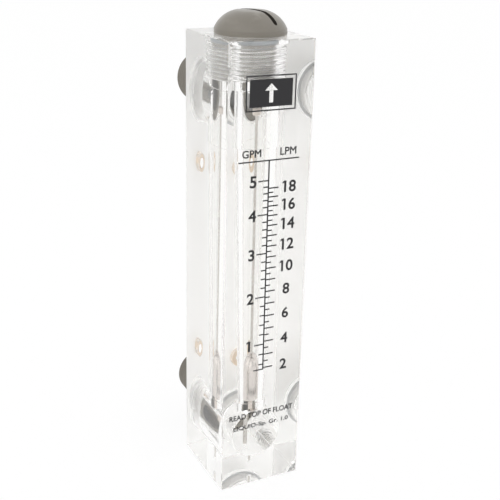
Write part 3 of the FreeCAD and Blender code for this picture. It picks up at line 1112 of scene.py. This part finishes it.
# ------------------------------------------------------------------ rod, spacer, stop, float
@dataclass
class FloatTrain:
    """Guide rod, lower spacer, upper stop and float."""

    made: Builder
    rod_chamfer: float = 0.25
    spacer_round: float = 0.2
    bead_round: float = 0.6
    round_steps: int = 8
    tail_chamfer: float = 0.6
    nose: Point = (3.6, 6.4)     # diameter of the tip, and length
    nose_steps: int = 24
    running_gap: float = 0.1
    rod_sides: int = 64
    sleeve_sides: int = 96
    float_sides: int = 144

    def _rod(self) -> bpy.types.Object:
        """Guide rod with chamfered ends.

        Returns:
            The rod.
        """
        radius, low, high = span_of("guide_rod")
        end = self.rod_chamfer
        outline = [(0, low), (radius - end, low), (radius, low + end), (radius, high - end),
                   (radius - end, high), (0, high)]
        return turned("guide_rod_steel", outline, self.made.bore, self.rod_sides)

    def _sleeve(self, name: str, node: str, soften: float) -> bpy.types.Object:
        """Tube on the rod with rounded edges.

        Args:
            name: Name of the piece.
            node: CAD node that it stands for.
            soften: Radius of the outer edges.

        Returns:
            The tube.
        """
        radius, low, high = span_of(node)
        bore = self.made.sizes.rod / 2 + self.made.sizes.rod_fit
        lift = soften * (1 - math.sqrt(0.5))
        outer = radius - soften
        outline = [(bore, low), (outer, low),
                   *rounded((outer, low), (radius, low + soften), -lift, self.round_steps),
                   (radius, high - soften),
                   *rounded((radius, high - soften), (outer, high), -lift, self.round_steps),
                   (bore, high)]
        return turned(name, outline, self.made.bore, self.sleeve_sides, hollow=True)

    def _float(self) -> bpy.types.Object:
        """Bullet float, bored for the rod.

        Returns:
            The float.
        """
        radius, low, high = span_of("float")
        bore = self.made.sizes.rod / 2 + self.running_gap
        tip, length = self.nose[0] / 2, self.nose[1]
        across, shoulder, tail = radius - tip, (radius, high - length), self.tail_chamfer
        # an arc through the middle of the quarter ellipse from shoulder to tip
        bulge = (math.sqrt(2) - 1) * across * length / math.hypot(across, length)
        outline = [(bore, low), (radius - tail, low), (radius, low + tail), shoulder,
                   *rounded(shoulder, (tip, high), -bulge, self.nose_steps), (bore, high)]
        return turned("bullet_float", outline, self.made.bore, self.float_sides, hollow=True)

    def build(self) -> None:
        """Make and dress the four pieces."""
        made = self.made
        made.finish(self._rod(), ROD_STEEL, Body.METER, "guide_rod")
        for name, node, soften in (("float_rest_spacer", "lower_spacer", self.spacer_round),
                                   ("float_stop_bead", "upper_stop", self.bead_round)):
            made.finish(self._sleeve(name, node, soften), NYLON, Body.METER, node)
        made.finish(self._float(), FLOAT_STEEL, Body.FLOAT, "float")


# ------------------------------------------------------------------ rear pieces
@dataclass
class RearFittings:
    """Two screwed pipe adapters with their seals, and two panel inserts."""

    made: Builder
    bore: float = 14.0
    screw_edge: float = 0.4
    end_chamfer: float = 1.2
    end_edge: float = 0.5
    end_gap: float = 1.8         # from the thread's last turn to the screw's end
    pipe_thread_start: float = 4.0
    sides: int = 144
    insert_bore: float = 4.2
    insert_edge: float = 0.2
    insert_lip: float = 0.1
    insert_sink: float = 0.3
    insert_grooves: int = 3
    insert_groove: float = 0.3
    insert_sides: int = 96

    def _adapter(self, side: Side) -> bpy.types.Object:
        """Adapter's turned body.

        Args:
            side: Which port.

        Returns:
            The body.
        """
        sizes, edge, lead = self.made.sizes, self.screw_edge, self.end_edge
        _, front, end = span_of(f"{side.value}_adapter", Lay.REARWARD)
        screw = sizes.port_thread.inner_radius - sizes.thread_gap
        neck = sizes.port_recess[0] / 2 - sizes.seal_cord
        collar, pipe = sizes.pipe_thread.outer / 2, sizes.pipe_thread.inner_radius
        start, bore = sizes.back + self.pipe_thread_start, self.bore / 2
        outline = [(bore + edge, front), (screw - edge, front), (screw, front + edge),
                   (screw, sizes.port_floor), (neck, sizes.port_floor), (neck, sizes.back),
                   (collar, sizes.back), (collar, start), (pipe, start + lead),
                   (pipe, end - self.end_chamfer), (pipe - lead, end), (bore + lead, end),
                   (bore, end - lead), (bore, front + edge)]
        return turned(f"{side.value}_pipe", outline, self.made.port(side), self.sides, hollow=True)

    def _insert(self, node: str) -> bpy.types.Object:
        """Panel insert with gripping grooves.

        Args:
            node: CAD node of the insert.

        Returns:
            The insert.
        """
        radius, front, back = span_of(node, Lay.REARWARD)
        hole, edge, lip, sink = (self.insert_bore / 2, self.insert_edge, self.insert_lip,
                                 self.insert_sink)
        outline = [(hole, front), (radius - edge, front), (radius, front + edge)]
        for groove in range(1, self.insert_grooves + 1):
            middle = front + groove * (back - front) / (self.insert_grooves + 1)
            outline += [(radius, middle - edge), (radius - self.insert_groove, middle),
                        (radius, middle + edge)]
        outline += [(radius, back - lip), (radius - lip, back), (hole + sink, back),
                    (hole, back - sink)]
        return turned(f"{node}_brass", outline, axis_place(Lay.REARWARD, middle_of(node)),
                      self.insert_sides, hollow=True)

    def _fit_port(self, side: Side) -> None:
        """Make one port's adapter, threads and seal.

        Args:
            side: Which port.
        """
        made, sizes, name = self.made, self.made.sizes, side.value
        place = made.port(side)
        _, _, end = span_of(f"{name}_adapter", Lay.REARWARD)
        made.finish(self._adapter(side), MOULDED, Body.METER, f"{name}_adapter")
        made.screw(sizes.port_thread, f"{name}_screw_thread", sizes.port_end + self.end_gap,
                   sizes.port_floor, place, sizes.thread_gap, self.end_gap)
        made.screw(sizes.pipe_thread, f"{name}_pipe_thread",
                   sizes.back + self.pipe_thread_start + self.end_edge,
                   end - self.end_chamfer / 2, place)
        made.seal(f"{name}_seal_ring", f"{name}_seal", Lay.REARWARD, place)

    def build(self) -> None:
        """Make both ports' fittings and both inserts."""
        for side in Side:
            self._fit_port(side)
        for node in INSERTS:
            self.made.finish(self._insert(node), BRASS, Body.METER, node)


# ------------------------------------------------------------------ printed scale
@dataclass
class Printing:
    """Printed numerals, units and reading note, and the finish of the printed lines."""

    made: Builder
    thickness: float = 0.08
    letter_steps: int = 6        # straight steps in each curve of a letter
    boldness: float = 0.023      # stroke growth, as a share of the letters' size
    unit_boldness: float = 0.018
    note_boldness: float = 0.024
    figure: float = 4.6
    flag_reach: float = 0.75     # slanted stroke at the head of a figure one
    flag_drop: float = 0.55
    flag_stroke: float = 0.55
    gallon_x: float = -6.35
    litre_x: float = 9.1
    gallons: range = range(1, 6)
    litres: range = range(2, 19, 2)
    litres_per_gallon: float = 3.785
    curve: tuple[float, float, float] = (41.0, 24.0, -1.2)   # height, slope and bend, in gallons
    unit_height: float = 2.9
    unit_middle: float = 141.7
    gallon_unit_x: float = -7.2
    litre_unit_x: float = 7.8
    note_height: float = 2.5
    notes: tuple[tuple[str, float, float], ...] = (("READ TOP OF FLOAT", 32.7, 28.6),
                                                   ("LIQUID-Sp. Gr. 1.0", 27.4, 25.0))

    def _height(self, gallons: float) -> float:
        """Height of a flow on the scale."""
        base, slope, bend = self.curve
        return base + slope * gallons + bend * gallons ** 2

    def _text(self, words: str, x: float, z: float, height: float, boldness: float,
              width: float | None = None) -> bpy.types.Object:
        """Printed words, middle at a point of the scale face.

        Args:
            words: What is printed.
            x: Middle of the words across the face.
            z: Middle of the words up the face.
            height: Height of the words.
            boldness: Stroke growth.
            width: Width of the words, or none for their own.

        Returns:
            The words as a thin mesh.
        """
        curve = bpy.data.curves.new(words, "FONT")
        curve.body = words
        curve.extrude = boldness
        curve.bevel_depth = boldness
        curve.bevel_resolution = 0
        curve.resolution_u = self.letter_steps
        letters = place_object("letters", curve)
        bpy.context.view_layer.update()
        graph = bpy.context.evaluated_depsgraph_get()
        mesh = bpy.data.meshes.new_from_object(letters.evaluated_get(graph))
        bpy.data.objects.remove(letters)
        xs, ys, zs = zip(*(corner.co for corner in mesh.vertices))
        tall = height * MM / (max(ys) - min(ys))
        wide = width * MM / (max(xs) - min(xs)) if width else tall
        deep = self.thickness * MM / (max(zs) - min(zs))
        middle = Matrix.Translation((-(max(xs) + min(xs)) / 2, -(max(ys) + min(ys)) / 2, 0))
        stand = Matrix.Rotation(math.pi / 2, 4, "X") @ Matrix.Diagonal((wide, tall, deep, 1))
        depth = self.made.sizes.front - self.thickness / 2
        mesh.transform(Matrix.Translation((x * MM, depth * MM, z * MM)) @ stand @ middle)
        return place_object(words, mesh)

    def _flag(self, numeral: bpy.types.Object) -> bpy.types.Object:
        """Slanted stroke at the head of a figure one.

        Args:
            numeral: Number that starts with a one.

        Returns:
            The stroke as a thin mesh.
        """
        left = min(corner.co.x for corner in numeral.data.vertices) / MM
        top = max(corner.co.z for corner in numeral.data.vertices) / MM
        tip, low, stroke = left - self.flag_reach, top - self.flag_drop, self.flag_stroke
        corners = [(left + stroke, top), (left, top), (tip, low), (tip, low - stroke),
                   (left + stroke, top - stroke)]
        face = (Matrix.Translation((0, self.made.sizes.front * MM, 0))
                @ Matrix.Rotation(math.pi / 2, 4, "X"))
        return prism("flag", corners, face, self.thickness)

    def _numerals(self) -> list[bpy.types.Object]:
        """Numbers of both scales.

        Returns:
            One mesh for each number, and one for the flag of each figure one.
        """
        marks = [(number, self.gallon_x, number) for number in self.gallons]
        marks += [(number, self.litre_x, number / self.litres_per_gallon)
                  for number in self.litres]
        shapes = [self._text(str(number), x, self._height(flow), self.figure, self.boldness)
                  for number, x, flow in marks]
        return shapes + [self._flag(shape) for shape in shapes if shape.name.startswith("1")]

    def build(self) -> None:
        """Make the words and ink the printed CAD nodes."""
        made = self.made
        made.finish(joined("scale_numerals", self._numerals()), INK, Body.METER, "scale_figures")
        units = [self._text(words, x, self.unit_middle, self.unit_height, self.unit_boldness)
                 for words, x in (("GPM", self.gallon_unit_x), ("LPM", self.litre_unit_x))]
        made.finish(joined("scale_units", units), INK, Body.METER)
        notes = [self._text(words, 0.0, z, self.note_height, self.note_boldness, width)
                 for words, z, width in self.notes]
        made.finish(joined("reading_note", notes), INK, Body.METER)
        for node in ("scale_lines", "flow_badge"):
            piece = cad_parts[node]
            piece.data.materials.clear()
            piece.data.materials.append(made.palette.of(INK))


# ------------------------------------------------------------------ studio
@dataclass
class Studio:
    """Camera, white surroundings, pale floor and one soft lamp, in metres and degrees."""

    azimuth: float = -26.41
    elevation: float = 20.72
    roll: float = 1.411
    eye: tuple[float, float, float] = (-0.1482, -0.3034, 0.2247)
    lens: float = 64.96          # in millimetres
    nearest: float = 0.01        # the camera's near clip
    ambient: float = 1.0
    floor_shade: float = 0.96
    floor_rough: float = 0.9
    floor_share: float = 0.88    # of plain white in the floor that is seen
    floor_gap: float = 0.0003
    floor_size: float = 12.0
    bounces: int = 28            # light inside the block turns back many times
    diffuse_bounces: int = 7
    lamp_place: tuple[float, float, float] = (-0.8, -0.6, 1.0)
    lamp_size: float = 1.6
    lamp_power: float = 2.5

    def _camera(self) -> None:
        """Put the camera in place."""
        turn, rise, roll = (math.radians(value)
                            for value in (self.azimuth, self.elevation, self.roll))
        back = Vector((math.sin(turn) * math.cos(rise), -math.cos(turn) * math.cos(rise),
                       math.sin(rise)))
        right = (-back).cross(Vector((0, 0, 1))).normalized()
        above = right.cross(-back)
        across = right * math.cos(roll) + above * math.sin(roll)
        upward = above * math.cos(roll) - right * math.sin(roll)
        stand = Matrix((across, upward, back)).transposed().to_4x4()
        stand.translation = Vector(self.eye)
        data = bpy.data.cameras.new("camera")
        data.lens = self.lens
        data.clip_start = self.nearest
        camera = place_object("camera", data)
        camera.matrix_world = stand
        bpy.context.scene.camera = camera

    @staticmethod
    def _seen(tree: bpy.types.NodeTree, share: float = 1.0) -> bpy.types.Node:
        """Node that tells rays that show the background: straight, mirrored or through glass.

        Args:
            tree: The world's or floor's tree.
            share: What it puts out for those rays, with nothing for the others.

        Returns:
            The node.
        """
        rays = add_node(tree, "ShaderNodeLightPath")
        first, second = (add_node(tree, "ShaderNodeMath", operation="MAXIMUM") for _ in range(2))
        shown = add_node(tree, "ShaderNodeMath", {1: share}, operation="MULTIPLY")
        wire(tree, (rays, "Is Camera Ray", first, 0), (rays, "Is Glossy Ray", first, 1),
             (first, 0, second, 0), (rays, "Is Transmission Ray", second, 1),
             (second, 0, shown, 0))
        return shown

    def _world(self) -> None:
        """White surroundings that light the object softly."""
        world = bpy.data.worlds.new("white_room")
        world.use_nodes = True
        bpy.context.scene.world = world
        tree = world.node_tree
        white = (1, 1, 1, 1)
        shown = tree.nodes["Background"]
        set_inputs(shown, {"Color": white, "Strength": 1.0})
        fill = add_node(tree, "ShaderNodeBackground", {"Color": white, "Strength": self.ambient})
        mix = add_node(tree, "ShaderNodeMixShader")
        wire(tree, (self._seen(tree), 0, mix, "Fac"), (fill, 0, mix, 1), (shown, 0, mix, 2),
             (mix, 0, tree.nodes["World Output"], "Surface"))

    def _floor(self) -> None:
        """Pale floor that keeps a faint shadow."""
        shape = bmesh.new()
        bmesh.ops.create_grid(shape, x_segments=1, y_segments=1, size=self.floor_size / 2,
                              matrix=Matrix.Translation((0, 0, -self.floor_gap)))
        floor = link_mesh("floor", shape)
        material = node_material("floor_white")
        tree = material.node_tree
        shader = tree.nodes["Principled BSDF"]
        set_inputs(shader, {"Base Color": (*(self.floor_shade,) * 3, 1),
                            "Roughness": self.floor_rough})
        glow = add_node(tree, "ShaderNodeEmission")
        mix = add_node(tree, "ShaderNodeMixShader")
        wire(tree, (self._seen(tree, self.floor_share), 0, mix, "Fac"), (shader, 0, mix, 1),
             (glow, 0, mix, 2), (mix, 0, tree.nodes["Material Output"], "Surface"))
        floor.data.materials.append(material)

    def _lamp(self) -> None:
        """Hang the soft lamp and aim it at the middle of the meter."""
        data = bpy.data.lights.new("softbox", "AREA")
        data.size = self.lamp_size
        data.energy = self.lamp_power
        lamp = place_object("softbox", data)
        aim = (CAD_BOX[0] + CAD_BOX[1]) / 2 - Vector(self.lamp_place)
        lamp.location = self.lamp_place
        lamp.rotation_euler = aim.to_track_quat("-Z", "Y").to_euler()

    def build(self) -> None:
        """Set up the studio."""
        scene = bpy.context.scene
        scene.view_settings.view_transform = "Standard"
        scene.cycles.max_bounces = self.bounces
        scene.cycles.transmission_bounces = self.bounces
        scene.cycles.glossy_bounces = self.bounces // 2
        scene.cycles.transparent_max_bounces = self.bounces
        scene.cycles.diffuse_bounces = self.diffuse_bounces
        scene.cycles.blur_glossy = 0.0
        self._camera()
        self._world()
        self._floor()
        self._lamp()


def main() -> None:
    """Build the studio and every piece of the meter."""
    logging.basicConfig(level=logging.INFO, format="%(name)s %(message)s")
    Studio().build()
    made = Builder(Sizes(), Palette(), RidgeTree())
    for assembly in (ClearBlock, ScrewedTop, FloatTrain, RearFittings, Printing):
        assembly(made).build()


if __name__ == "__main__":
    main()
